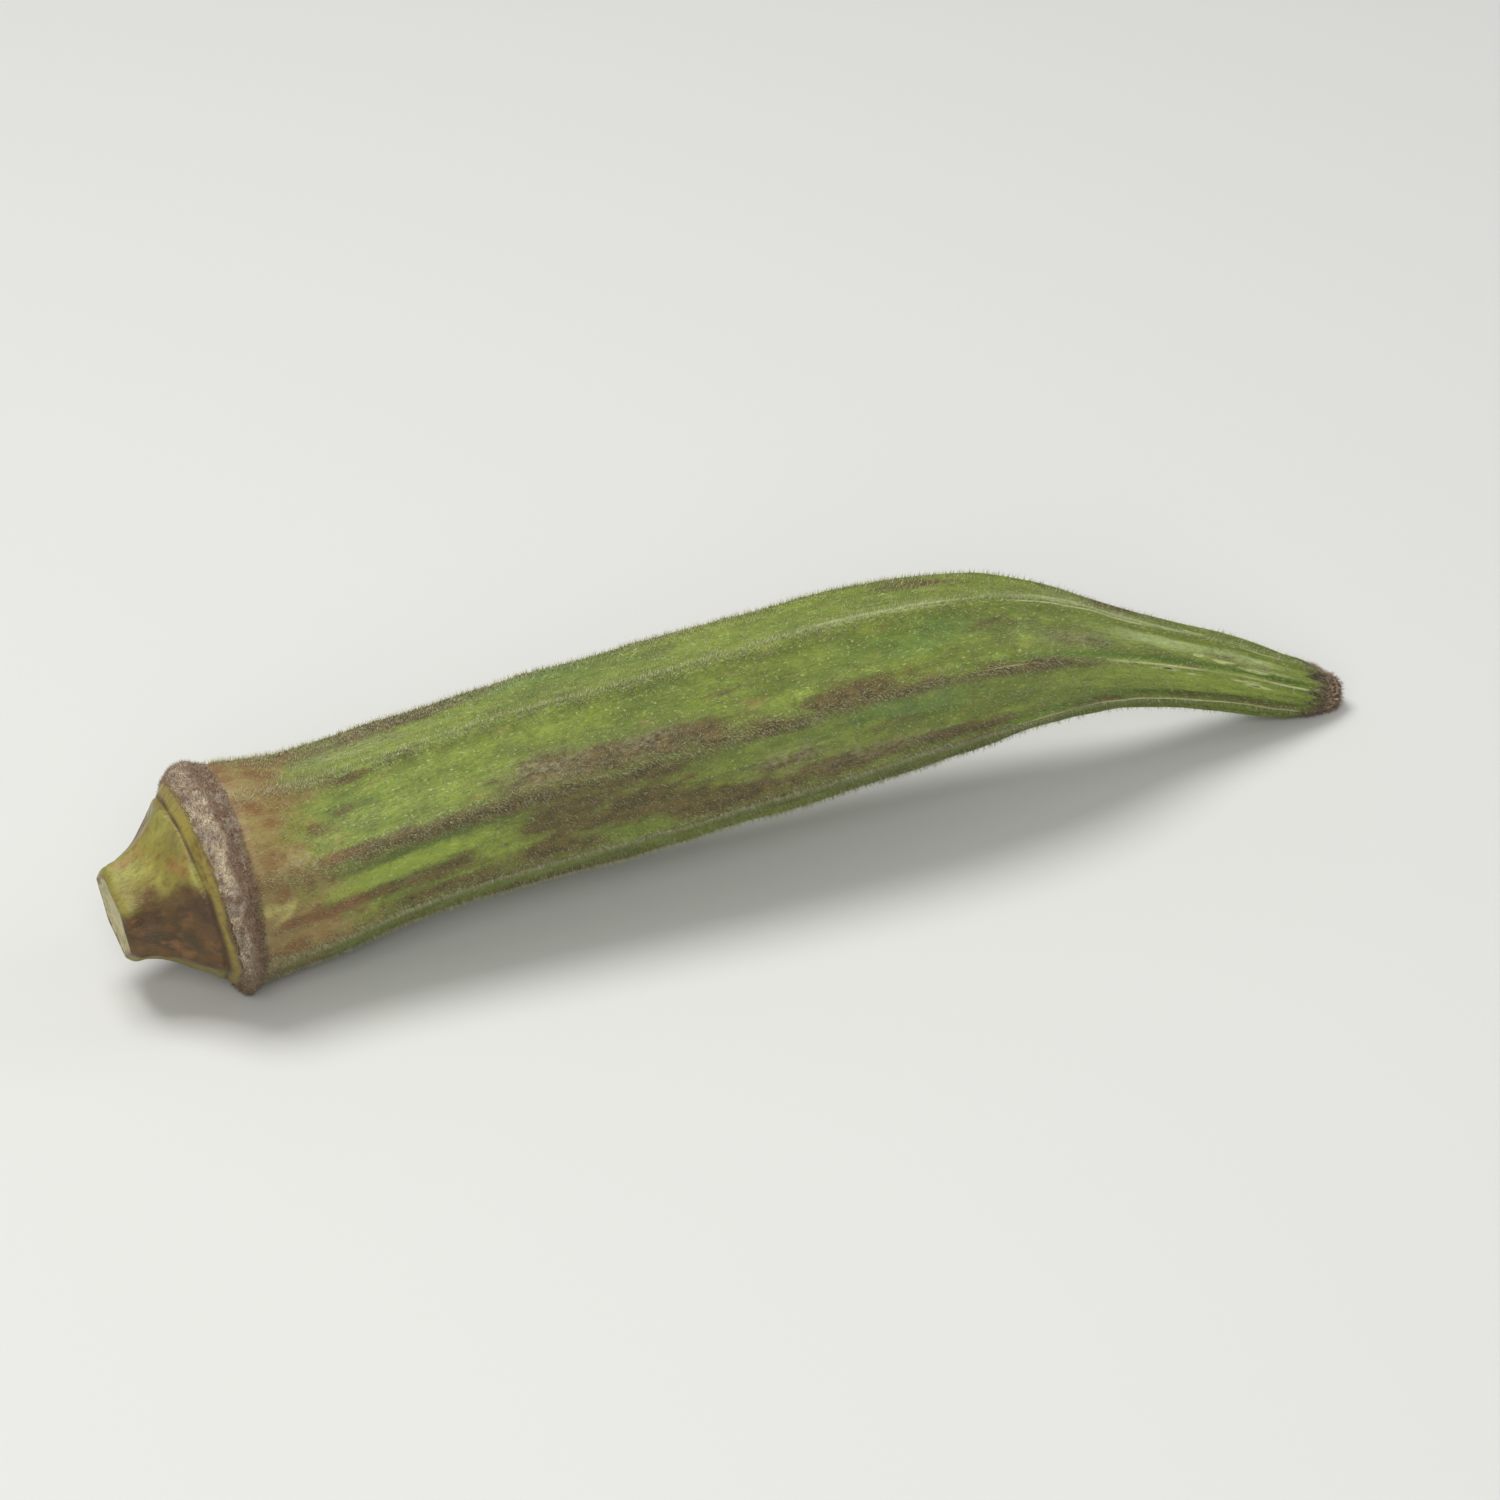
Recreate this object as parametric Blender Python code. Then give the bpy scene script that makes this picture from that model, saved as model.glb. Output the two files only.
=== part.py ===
"""An okra pod, as picked, lying on its collar and its tip. Metres, +Z up, +X from the stalk end to the tip.

The fruit is one piece: a capsule with eight ridges, the woolly collar where the flower sat, the cone-shaped cap
behind the collar with the cut stalk end, and the small nub at the tip. It is one loft: rings of points, each square
to a bent spine, with their radius from a profile along the spine and a ridged section around it.
"""

import math

import bpy
import numpy as np

MM = 0.001

# The spine, in millimetres: distance from the collar towards the tip, and height above the ground.
SPINE_HEIGHT = (
    (-9.4, 8.8), (-4.0, 9.8), (0.0, 10.6), (8.0, 11.0), (15.0, 12.2), (24.0, 13.4), (42.0, 14.6), (56.0, 15.5),
    (68.0, 15.9), (77.0, 15.4), (84.0, 14.1), (90.0, 12.3), (96.0, 10.2), (103.0, 7.5), (109.0, 4.8), (115.5, 2.1),
)

# The same for how far the spine sways towards the front, at -Y.
SPINE_SWAY = ((-9.4, -0.5), (0.0, 0.0), (25.0, 0.6), (50.0, 0.8), (75.0, 0.3), (95.0, -0.4), (115.5, -0.7))

# The radius at the ridges, by distance from the collar, in millimetres.
CUT_END, CUT_RIM = -9.4, -9.1
CAP_END, GROOVE = -3.2, -2.3
COLLAR_END = 1.2
NUB_START, NUB_END = 114.6, 116.2
PROFILE = (
    (CUT_END, 4.2), (CUT_RIM, 4.55), (-7.6, 5.1), (-5.2, 6.5), (-3.4, 8.1), (-2.6, 8.75),
    (GROOVE, 8.7), (-1.9, 9.1), (-0.9, 10.2), (-0.4, 10.7), (0.2, 10.85), (0.7, 10.65),
    (COLLAR_END, 10.2), (2.2, 10.15), (4.6, 9.9), (12.0, 9.2), (21.0, 9.0), (34.0, 9.2), (50.0, 9.2),
    (62.0, 9.1), (69.0, 8.8), (77.0, 7.9), (84.0, 6.4), (90.0, 4.95), (97.0, 3.95), (103.0, 3.5),
    (109.0, 3.0), (112.5, 2.6), (NUB_START, 1.95), (115.3, 1.75), (115.9, 1.35), (NUB_END, 0.8),
)

# The ridges of the capsule. Angles are in degrees from straight up, towards the front.
RIDGES = 8
FIRST_RIDGE = 66.0
TWIST, TWIST_START, TWIST_END = 3.0, 60.0, 100.0
UNEVEN_SPACING = 2.0
RIDGE_SOFTNESS = 3.5
FACET_HOLLOW = 0.016
COLLAR_RIDGE_SHARE, SHOULDER_END = 0.35, 7.0
RIB_HEIGHT, RIB_HALF_WIDTH = 0.18, 3.0
RIB_START, RIB_FULL, RIB_FADE = 3.0, 12.0, 110.0

# The edges of the cap.
CAP_EDGES = 6
CAP_FIRST_EDGE = 55.0
CAP_SOFTNESS = 9.0

# The mesh: degrees between a ridge and the points around it, and the most millimetres between rings.
OFF_RIDGE = (-12.0, -6.5, -2.8, 0.0, 2.8, 6.5, 12.0, 22.5)
STRETCHES = ((CUT_RIM, -3.4, 2.0), (COLLAR_END, 4.6, 1.2), (4.6, 84.0, 3.2), (84.0, 112.5, 1.9))
LEAST_BETWEEN_RINGS = 0.25
SLOPE_STEP = 0.5

# How deep the fruit's own weight presses the collar and the tip flat, in millimetres.
PRESSED = 0.35
COLLAR_HALF, TIP_HALF = 40.0, 80.0
LEVELLING_ROUNDS = 4

SKIN_COLOUR, SKIN_ROUGHNESS = (0.2, 0.29, 0.055, 1.0), 0.55
SHARP_ANGLE = 50.0


def smooth_curve(points, at):
    """A smooth curve through the points, read at one or more places along it."""
    knots, values = np.array(points).T
    slopes = np.gradient(values, knots)
    start = np.clip(np.searchsorted(knots, at, side="right") - 1, 0, len(knots) - 2)
    width = knots[start + 1] - knots[start]
    t = (at - knots[start]) / width
    rise = values[start + 1] - values[start]
    leaving, arriving = slopes[start] * width, slopes[start + 1] * width
    bend = 3 * rise - 2 * leaving - arriving
    return values[start] + t * (leaving + t * (bend + t * (leaving + arriving - 2 * rise)))


def blend(start, end, at):
    """0 before start, 1 after end, and a smooth step between them."""
    t = np.clip((at - start) / (end - start), 0, 1)
    return t * t * (3 - 2 * t)


def off_corner(angle, count):
    """Degrees from the nearest of so many evenly spaced corners, the first at 0."""
    spacing = 360 / count
    return np.abs((angle + spacing / 2) % spacing - spacing / 2)


def soft_polygon(off, count, softness):
    """The radius of a polygon with softened corners, 1 at a corner, at so many degrees off it."""
    half = 180 / count
    from_corner = np.sqrt(off**2 + softness**2) - softness
    return math.cos(math.radians(half)) / np.cos(np.radians(half - from_corner))


def angle_of(along, turn):
    """The angle from straight up, at so many degrees past the first ridge. The ridges twist a little."""
    twisted = FIRST_RIDGE + TWIST * blend(TWIST_START, TWIST_END, along)
    return twisted + turn + UNEVEN_SPACING * np.sin(np.radians(2 * turn))


def pod_section(along, turn):
    """The capsule's radius as a share of its radius at a ridge."""
    off = off_corner(turn, RIDGES)
    hollow = FACET_HOLLOW * np.sin(np.radians(off * RIDGES / 2)) ** 2
    strength = COLLAR_RIDGE_SHARE + (1 - COLLAR_RIDGE_SHARE) * blend(COLLAR_END, SHOULDER_END, along)
    return 1 - strength * (1 - soft_polygon(off, RIDGES, RIDGE_SOFTNESS) + hollow)


def cap_section(angle):
    """The cap's radius as a share of its radius at one of its edges."""
    return soft_polygon(off_corner(angle - CAP_FIRST_EDGE, CAP_EDGES), CAP_EDGES, CAP_SOFTNESS)


def rib(along, turn):
    """The height of the thin rib on each ridge."""
    fades = blend(RIB_START, RIB_FULL, along) * (1 - blend(RIB_FADE, NUB_START, along))
    return RIB_HEIGHT * fades * np.exp(-((off_corner(turn, RIDGES) / RIB_HALF_WIDTH) ** 2))


def radius(along, turn):
    """The fruit's radius in millimetres."""
    on_pod = blend(CAP_END, GROOVE, along)
    share = (1 - on_pod) * cap_section(angle_of(along, turn)) + on_pod * pod_section(along, turn)
    round_share = blend(RIB_FADE, NUB_END, along)
    share = share * (1 - round_share) + round_share
    return smooth_curve(PROFILE, along) * share + rib(along, turn)


def slope(points, along):
    """How fast the curve through the points rises."""
    after, before = smooth_curve(points, along + SLOPE_STEP), smooth_curve(points, along - SLOPE_STEP)
    return (after - before) / (2 * SLOPE_STEP)


def surface(along, turn):
    """Points of the skin in millimetres: along the spine, and so many degrees past the first ridge."""
    climb, sway = slope(SPINE_HEIGHT, along), slope(SPINE_SWAY, along)
    flat = np.sqrt(1 + sway**2)
    length = np.sqrt(flat**2 + climb**2)
    angle = np.radians(angle_of(along, turn))
    up = radius(along, turn) * np.cos(angle)
    front = radius(along, turn) * np.sin(angle)
    x = along - up * climb / (flat * length) - front * sway / flat
    toward_front = smooth_curve(SPINE_SWAY, along) - up * climb * sway / (flat * length) + front / flat
    z = smooth_curve(SPINE_HEIGHT, along) + up * flat / length
    return np.stack([x, -toward_front, z], axis=-1)


def stations():
    """Where the rings are along the spine: at each point of the profile, and between them."""
    found = {place for place, _ in PROFILE}
    for start, end, most in STRETCHES:
        found |= set(np.linspace(start, end, math.ceil((end - start) / most) + 1).round(3))
    kept = []
    for place in sorted(found):
        if not kept or place - kept[-1] > LEAST_BETWEEN_RINGS:
            kept.append(place)
    return np.array(kept)


def turns():
    """Degrees past the first ridge of the points around a ring: close together at the ridges."""
    return np.array([ridge * 360 / RIDGES + off for ridge in range(RIDGES) for off in OFF_RIDGE])


def skin_points():
    """The middle of the cut end, the rings one after another, and the middle of the nub."""
    rings = surface(*np.meshgrid(stations(), turns(), indexing="ij"))
    return np.vstack([rings[0].mean(axis=0), rings.reshape(-1, 3), rings[-1].mean(axis=0)])


def skin_faces():
    """A fan at the cut end, four-sided faces between the rings, and a fan at the nub."""
    faces = []
    rings, around = len(stations()), len(turns())
    nub = 1 + rings * around
    for i in range(around):
        j = (i + 1) % around
        faces.append((0, 1 + j, 1 + i))
        for near in range(1, nub - around, around):
            far = near + around
            faces.append((near + j, far + j, far + i, near + i))
        faces.append((nub, nub - around + i, nub - around + j))
    return faces


def lowest(points):
    return points[points[:, 2].argmin()]


def laid_down(points):
    """The points turned until collar and tip are level, then set on the ground, pressed flat there and centred."""
    for _ in range(LEVELLING_ROUNDS):
        near, far = lowest(points[points[:, 0] < COLLAR_HALF]), lowest(points[points[:, 0] > TIP_HALF])
        tilt = math.atan2(far[2] - near[2], far[0] - near[0])
        x, y, z = points.T
        level = x * math.cos(tilt) + z * math.sin(tilt)
        points = np.stack([level, y, z * math.cos(tilt) - x * math.sin(tilt)], axis=1)
    points[:, 2] = np.maximum(points[:, 2] - points[:, 2].min() - PRESSED, 0.0)
    points[:, :2] -= (points[:, :2].min(axis=0) + points[:, :2].max(axis=0)) / 2
    return points


def skin_material():
    material = bpy.data.materials.new("okra_skin")
    material.use_nodes = True
    shader = material.node_tree.nodes["Principled BSDF"]
    shader.inputs["Base Color"].default_value = SKIN_COLOUR
    shader.inputs["Roughness"].default_value = SKIN_ROUGHNESS
    return material


def okra_pod():
    mesh = bpy.data.meshes.new("okra_pod")
    mesh.from_pydata((laid_down(skin_points()) * MM).tolist(), [], skin_faces())
    mesh.materials.append(skin_material())
    mesh.shade_smooth()
    mesh.set_sharp_from_angle(angle=math.radians(SHARP_ANGLE))
    pod = bpy.data.objects.new("okra_pod", mesh)
    bpy.context.scene.collection.objects.link(pod)
    return pod


def clear_scene():
    for thing in list(bpy.data.objects):
        bpy.data.objects.remove(thing)


clear_scene()
okra_pod()
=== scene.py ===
"""The looks of the okra pod: its fine skin with ribs, scuffs and colours, and the short hairs that cover it.

The skin is the same loft as the solid it replaces, with far more rings and points, and with relief too fine
for the solid. Places along the pod are in millimetres and around it in degrees, and the scene is in metres.
"""

import itertools
import math
from typing import NamedTuple

import bpy
import numpy as np
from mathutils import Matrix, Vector


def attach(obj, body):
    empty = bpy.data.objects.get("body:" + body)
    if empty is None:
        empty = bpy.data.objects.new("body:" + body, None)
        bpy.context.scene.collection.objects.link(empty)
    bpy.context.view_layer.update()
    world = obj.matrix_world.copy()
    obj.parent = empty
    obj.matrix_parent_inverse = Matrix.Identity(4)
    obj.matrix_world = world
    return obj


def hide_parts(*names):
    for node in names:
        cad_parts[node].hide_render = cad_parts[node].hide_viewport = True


MM = 0.001

# The solid's own shape, repeated: see the part's source for what each value is.
SPINE_HEIGHT = (
    (-9.4, 8.8), (-4.0, 9.8), (0.0, 10.6), (8.0, 11.0), (15.0, 12.2), (24.0, 13.4),
    (42.0, 14.6), (56.0, 15.5), (68.0, 15.9), (77.0, 15.4), (84.0, 14.1), (90.0, 12.3),
    (96.0, 10.2), (103.0, 7.5), (109.0, 4.8), (115.5, 2.1),
)
SPINE_SWAY = ((-9.4, -0.5), (0.0, 0.0), (25.0, 0.6), (50.0, 0.8), (75.0, 0.3), (95.0, -0.4), (115.5, -0.7))
CUT_END, CUT_RIM = -9.4, -9.1
CAP_END, GROOVE = -3.2, -2.3
COLLAR_END = 1.2
NUB_START, NUB_END = 114.6, 116.2
PROFILE = (
    (CUT_END, 4.2), (CUT_RIM, 4.55), (-7.6, 5.1), (-5.2, 6.5), (-3.4, 8.1), (-2.6, 8.75),
    (GROOVE, 8.7), (-1.9, 9.1), (-0.9, 10.2), (-0.4, 10.7), (0.2, 10.85), (0.7, 10.65),
    (COLLAR_END, 10.2), (2.2, 10.15), (4.6, 9.9), (12.0, 9.2), (21.0, 9.0), (34.0, 9.2), (50.0, 9.2),
    (62.0, 9.1), (69.0, 8.8), (77.0, 7.9), (84.0, 6.4), (90.0, 4.95), (97.0, 3.95), (103.0, 3.5),
    (109.0, 3.0), (112.5, 2.6), (NUB_START, 1.95), (115.3, 1.75), (115.9, 1.35), (NUB_END, 0.8),
)
RIDGES = 8
FIRST_RIDGE = 66.0
TWIST, TWIST_START, TWIST_END = 3.0, 60.0, 100.0
UNEVEN_SPACING = 2.0
RIDGE_SOFTNESS = 3.5
FACET_HOLLOW = 0.016
COLLAR_RIDGE_SHARE, SHOULDER_END = 0.35, 7.0
RIB_HEIGHT, RIB_HALF_WIDTH = 0.18, 3.0
RIB_START, RIB_FULL, RIB_FADE = 3.0, 12.0, 110.0
CAP_EDGES = 6
CAP_FIRST_EDGE = 55.0
CAP_SOFTNESS = 9.0
SLOPE_STEP = 0.5
PRESSED = 0.35
COLLAR_HALF, TIP_HALF = 40.0, 80.0
LEVELLING_ROUNDS = 4

# The fine mesh: how far apart the rings are on each stretch, the points around a ring, and the rings on the
# end faces, by their share of the radius.
BAND_START = -2.45
STRETCHES = (
    (CUT_END, BAND_START, 0.2), (BAND_START, 2.2, 0.09), (2.2, 12.0, 0.24), (12.0, 84.0, 0.37),
    (84.0, 112.5, 0.31), (112.5, NUB_END, 0.1),
)
POINTS_PER_RIDGE = 26
CROWDED_AT_RIDGE = 0.5
CUT_FACE_SHARES = (0.08, 0.22, 0.36, 0.5, 0.62, 0.74, 0.84, 0.93)
NUB_SHARES = (0.75, 0.45, 0.2)
CUT_DISH, NUB_DOME = 0.3, 0.25

# A radius for coordinates that follow the pod as if it were straight and round.
FLOW_RADIUS = 9.0

# How far to step along and around the skin to find which way it faces.
NORMAL_STEP, NORMAL_TURN = 0.3, 2.0

# Noise is read from a table of random values, at a place that these large primes pick for each cell.
NOISE_VALUES = 4096
CELL_PRIMES = (73856093, 19349663, 83492791)

# Layers of noise: (height in mm, or strength, size of the lumps along and around in mm, seed).
CAPSULE_LUMPS = (
    (0.11, (5.5, 4.0), 1), (0.045, (2.2, 1.6), 2), (0.025, (8.0, 0.5), 3), (0.014, (2.5, 0.25), 4),
)
FURROW_BREAKS = ((0.4, (9.0, 6.0), 5),)
UNEVEN_RIB = ((0.06, (3.2, 5.0), 17),)
COLLAR_FELT = ((0.16, (3.0, 2.6), 6), (0.13, (1.2, 1.0), 7), (0.07, (0.42, 0.42), 8), (0.04, (0.2, 0.2), 9))
CRACK_WANDER = ((0.2, (1.5, 1.5), 15),)
CAP_DENTS = ((0.12, (3.0, 3.0), 10), (0.04, (1.4, 1.0), 11), (0.025, (2.0, 0.5), 16))
NUB_TEARS = ((0.16, (0.8, 3.6), 12), (0.1, (0.3, 1.8), 13))
CUT_TEARS = ((0.12, (1.0, 1.2), 14),)
MARK_WANDER = ((1.0, (4.0, 2.4), 30), (0.5, (1.5, 0.8), 31))
TAN_TONGUES = ((3.0, (9.0, 3.6), 33),)
PALE_LINE_BREAKS = ((0.6, (5.0, 3.0), 32),)
SCAR_BREAKS = ((0.7, (0.9, 0.3), 34),)
REGION_WANDER = ((0.35, (2.0, 0.6), 40), (0.2, (1.0, 0.25), 41))
FACET_HAIR_CLUMPS = ((0.3, (6.0, 3.0), 50),)

# Where the relief of each region comes in and goes out along the pod: (start, end) of each change.
CAP_OUT = (-2.6, -2.0)
COLLAR_IN, COLLAR_OUT = (-1.5, -0.7), (0.7, 2.4)
CAPSULE_IN, CAPSULE_OUT = (0.8, 3.0), (112.5, NUB_START)
NUB_IN = (113.2, NUB_START)

# The furrow beside each rib: its depth in mm, its place and half width in degrees off the ridge, the share of
# it that noise leaves, and where it comes in along the pod. The rib grows uneven over a stretch of its own.
FURROW_DEPTH, FURROW_OFF, FURROW_HALF_WIDTH = 0.13, 7.5, 2.8
FURROW_SHARE, FURROW_IN = 0.6, (6.0, 20.0)
UNEVEN_RIB_IN = (6.0, 14.0)

# Seams between the ridges and strands beside them, by the tip: (height in mm, degrees off the ridge, half
# width in degrees, middle along the pod, half length in mm).
TIP_STRANDS = ((-0.07, 22.5, 2.6, 103.0, 9.0), (0.08, 11.0, 2.2, 105.0, 6.0))

# The fine lines on and beside each ridge towards the tip, in mm across from the ridge.
LINES_IN, LINES_OUT = (52.0, 80.0), (110.0, 113.0)
CREASE_DEPTH, CREASE_PLACE, CREASE_HALF_WIDTH = 0.15, -0.45, 0.2
PALE_LINE_SHARE, PALE_LINE_HALF_WIDTH = 0.75, 0.12
DARK_LINE_PLACE, DARK_LINE_HALF_WIDTH = -0.5, 0.3

# The crack round the collar, and the crests on the edges of the cap, in degrees off the edge.
CRACK_DEPTH, CRACK_PLACE, CRACK_HALF_WIDTH = 0.2, 0.8, 0.16
CREST_HEIGHT, CREST_HALF_WIDTH, CREST_MIDDLE, CREST_HALF_LENGTH = 0.2, 5.0, -6.2, 2.2

# Marks on the skin: (along, turn, half length in mm, half width in degrees, strength).
BRUISES_AND_CAP_SHADE = (
    (12.0, -2.0, 5.5, 3.5, 1.0), (20.0, 1.5, 9.0, 5.0, 1.0), (29.0, 3.0, 7.0, 6.0, 1.0),
    (33.0, -9.0, 8.0, 11.0, 0.95), (41.0, -8.0, 8.0, 9.0, 0.9), (37.0, 6.0, 9.0, 9.0, 0.8),
    (46.0, -3.0, 6.0, 5.0, 0.75), (51.0, 1.0, 6.0, 5.0, 0.75), (30.0, 22.0, 5.0, 8.0, 0.8),
    (36.0, 27.0, 9.0, 8.0, 0.95), (32.0, 13.0, 6.0, 8.0, 0.9), (39.0, 18.0, 6.0, 6.0, 0.7),
    (42.0, 31.0, 7.0, 7.0, 0.9), (29.0, 38.0, 6.0, 7.0, 1.0), (12.0, 27.5, 8.0, 4.5, 0.85),
    (18.0, 30.0, 5.0, 6.0, 0.9), (5.0, 27.0, 4.0, 4.0, 0.7), (18.0, 41.0, 8.0, 4.5, 0.75),
    (47.0, 37.0, 8.0, 7.0, 0.95), (58.0, 37.0, 10.0, 7.0, 0.85), (70.0, 38.0, 10.0, 5.0, 0.8),
    (53.0, 26.0, 6.0, 6.0, 0.6), (60.0, -4.0, 6.0, 8.0, 1.0), (66.0, 1.0, 5.0, 5.0, 0.85),
    (77.0, 2.0, 8.0, 5.0, 1.0), (84.0, 4.0, 3.0, 4.0, 0.6), (9.0, -20.0, 2.2, 4.5, 0.8),
    (13.5, -42.0, 1.8, 3.0, 0.9), (12.0, -26.0, 1.6, 3.0, 0.6), (84.0, -17.0, 4.0, 6.0, 0.5),
    (74.0, -30.0, 4.0, 8.0, 0.45), (48.0, -26.0, 3.0, 4.0, 0.45), (101.0, -25.0, 3.0, 6.0, 0.4),
    (97.0, -3.0, 2.5, 4.0, 0.35), (104.0, 40.0, 12.0, 5.0, 0.65), (88.0, 42.0, 8.0, 4.0, 0.55),
    (24.0, 46.0, 8.0, 4.0, 0.85), (50.0, 47.0, 10.0, 4.0, 0.85), (72.0, 47.0, 8.0, 4.0, 0.7),
    # The last patch on the next line and the two after it lie on the cap; the first of these, dark brown over
    # the cap's lower front, is partly painted shade.
    (62.0, 20.0, 3.0, 4.0, 0.45), (92.0, 24.0, 3.0, 4.0, 0.4), (-6.0, 25.0, 8.0, 42.0, 1.2),
    (-6.5, 155.0, 5.0, 32.0, 1.0), (-5.0, 245.0, 3.0, 26.0, 0.9),
)
BLOOMS = (
    (5.5, -6.0, 3.0, 7.0, 0.75), (30.0, -13.0, 4.0, 7.0, 1.0), (39.0, -12.0, 3.5, 5.0, 0.9),
    (53.0, 24.0, 4.0, 9.0, 0.95), (84.0, -18.0, 5.0, 7.0, 0.9), (61.0, 34.0, 7.0, 6.0, 0.7),
    (104.0, -24.0, 5.0, 8.0, 0.5), (22.0, 100.0, 6.0, 9.0, 0.8), (58.0, 150.0, 7.0, 8.0, 0.8),
    (40.0, 215.0, 6.0, 8.0, 0.8), (80.0, 255.0, 6.0, 8.0, 0.8), (16.0, 290.0, 5.0, 8.0, 0.7),
)
# Paler yellow green, partly real and partly painted highlight: the facets that face the lights, the strip
# below the first ridge and the tip are painted lighter.
PALE_GREEN_AND_HIGHLIGHT_PATCHES = (
    (14.0, 17.5, 13.0, 6.5, 1.5), (20.0, -12.0, 8.0, 9.0, 0.42), (14.0, -31.0, 10.0, 12.0, 0.42),
    (54.0, -12.0, 7.0, 5.0, 0.5), (98.0, 14.0, 16.0, 18.0, 1.2), (24.5, 30.0, 3.0, 12.0, 0.85),
    (45.0, 27.0, 1.4, 2.2, 1.0), (44.0, 16.0, 5.0, 5.0, 0.5), (99.0, -28.0, 13.0, 14.0, 1.0),
    (6.0, -10.0, 2.5, 4.0, 0.7), (30.0, 112.0, 14.0, 8.0, 0.8), (62.0, 160.0, 14.0, 9.0, 0.8),
    (26.0, 205.0, 13.0, 8.0, 0.8), (55.0, 250.0, 13.0, 9.0, 0.8), (98.0, 180.0, 14.0, 60.0, 0.7),
)
BLUISH = (
    (65.0, 11.0, 8.0, 9.0, 0.8), (69.0, -27.0, 12.0, 14.0, 0.7), (56.0, 14.0, 4.0, 5.0, 0.5),
    (78.0, 22.0, 8.0, 8.0, 0.4), (47.0, 130.0, 13.0, 12.0, 0.7), (75.0, 200.0, 12.0, 14.0, 0.7),
    (30.0, 270.0, 12.0, 12.0, 0.7),
)
# Painted shade: dark green stripes beside and along the ridges, where shade falls.
PAINTED_SHADE_PATCHES = (
    (17.0, 8.0, 12.0, 3.0, 1.0), (52.0, 10.0, 8.0, 5.0, 0.5), (30.0, -45.0, 12.0, 5.0, 0.5),
    (80.0, 30.0, 8.0, 6.0, 0.4),
)
# Painted sheen: pale silvery green where the hairs catch the light, on the tip and by the upper ridges.
PAINTED_SHEEN_PATCHES = (
    (97.0, -31.0, 12.0, 8.0, 1.0), (106.0, -16.0, 5.0, 5.0, 0.6), (66.0, -50.0, 18.0, 6.0, 0.6),
    (92.0, -60.0, 14.0, 10.0, 0.7), (100.0, 120.0, 10.0, 10.0, 0.8), (100.0, 245.0, 12.0, 10.0, 0.8),
)
YELLOW_PATCHES = (
    (2.8, 18.0, 2.0, 7.0, 1.0), (3.2, 125.0, 2.5, 9.0, 0.6), (3.0, 230.0, 2.0, 10.0, 0.5),
)
SCARS = (
    (95.0, 4.0, 2.2, 2.4, 1.0), (98.0, 7.0, 1.2, 2.2, 0.9), (103.6, 7.0, 2.0, 2.4, 1.0),
    (105.4, 12.0, 1.8, 2.4, 1.0), (101.2, -16.0, 1.2, 4.0, 1.0), (104.6, -11.5, 1.8, 2.6, 1.0),
    (98.6, -21.0, 1.0, 3.0, 0.9), (100.0, 52.0, 1.6, 2.8, 1.0), (94.0, 96.0, 2.0, 2.4, 1.0),
    (103.0, 150.0, 1.6, 3.0, 1.0), (97.0, 196.0, 2.0, 2.4, 1.0), (105.0, 262.0, 1.5, 3.0, 1.0),
    (99.0, 288.0, 1.4, 2.6, 0.9),
)

# A scar's depth in mm, and the share of its mark that noise leaves.
SCAR_DEPTH, SCAR_SHARE = 0.06, 0.8

# The marks that are nothing more than a table of patches, by the names that the materials use.
SKIN_PATCHES = {
    "bloom": BLOOMS, "pale_green_and_highlight": PALE_GREEN_AND_HIGHLIGHT_PATCHES, "bluish": BLUISH,
    "painted_shade": PAINTED_SHADE_PATCHES, "painted_sheen": PAINTED_SHEEN_PATCHES, "yellowed": YELLOW_PATCHES,
}

# The bruises on the sides that the photograph doesn't show: the range of each value.
HIDDEN_BRUISES, HIDDEN_SEED = 34, 11
HIDDEN_RIDGES, HIDDEN_OFF_RIDGE = (2, 7), 6
HIDDEN_ALONG, HIDDEN_STRENGTH = (6, 100), (0.5, 0.95)
HIDDEN_HALF_LENGTH, HIDDEN_HALF_WIDTH = (4, 12), (4, 11)

# Marks that go all the way round: (middle, half width, how far it wanders), all in mm along the pod.
RING_MARKS = {"felt": (0.8, 0.8, 0.3), "band": (-1.6, 0.35, 0.12), "groove": (-2.15, 0.16, 0.06)}

# Marks of the tip: (start, end, how far it wanders). The tan of the shoulder ends in tongues.
TIP_MARKS = {"end": (109.0, 115.0, 1.5), "nub": (112.8, 115.2, 0.5)}
TAN_END, TAN_WANDER = 13.5, 2.4

# The skin's materials, by their place on the piece, and where the collar's starts and ends along the pod.
CAPSULE, COLLAR, CAP, CUT_FACE = range(4)
COLLAR_WOOL_START, COLLAR_WOOL_END, START_WANDER = -1.2, 0.55, 0.5

# Dents: (along, turn, half length in mm, half width in degrees, depth in mm).
DENTS = (
    (-7.0, 4.0, 1.5, 15.0, 0.4), (-5.6, -62.0, 1.6, 14.0, 0.25), (-6.4, 118.0, 1.6, 15.0, 0.3),
    (-5.8, 200.0, 1.8, 16.0, 0.3), (31.0, -13.0, 4.5, 8.0, 0.16), (47.0, 24.0, 5.0, 8.0, 0.14),
    (68.0, -30.0, 6.0, 9.0, 0.16), (22.0, 66.0, 6.0, 9.0, 0.16), (57.0, 112.0, 7.0, 9.0, 0.18),
    (36.0, 160.0, 6.0, 9.0, 0.16), (70.0, 205.0, 6.0, 9.0, 0.16), (24.0, 250.0, 6.0, 9.0, 0.16),
    (50.0, 292.0, 6.0, 9.0, 0.14), (80.0, 70.0, 5.0, 9.0, 0.14),
)

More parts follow.
